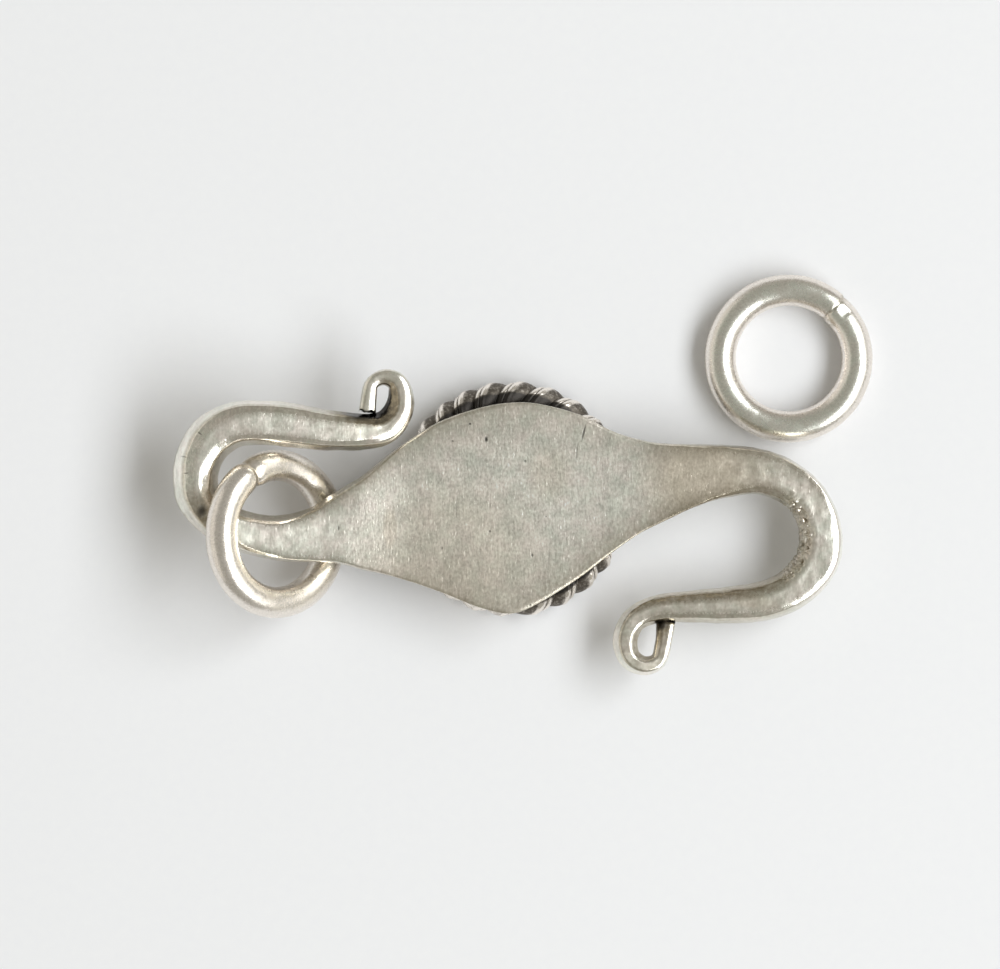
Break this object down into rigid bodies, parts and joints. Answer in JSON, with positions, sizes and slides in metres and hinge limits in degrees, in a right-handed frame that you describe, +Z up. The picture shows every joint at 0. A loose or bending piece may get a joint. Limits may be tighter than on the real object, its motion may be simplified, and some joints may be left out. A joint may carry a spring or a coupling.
{
  "type": "s-hook clasp",
  "caption": "Silver clasp: a leaf-shaped plate drawn out into open hooks with curled tips, with a twisted-wire border under it and round jump rings for the ends of a necklace or bracelet.",
  "frame": {"origin": "on the table that the clasp lies on, under the middle of the box round all three pieces", "axes": "+X along the clasp from the left hook to the right hook, +Y across it towards the loose ring, +Z up out of the plate's back"},
  "size_m": [0.0332, 0.019, 0.0056],
  "materials": {
    "satin_silver": "satin, finely scratched, with darkened hollows",
    "polished_silver": "tumbled to a soft polish"
  },
  "bodies": {
    "root": {"s_hook": "satin_silver", "hook_ring": "polished_silver", "loose_ring": "polished_silver"}
  },
  "joints": []
}
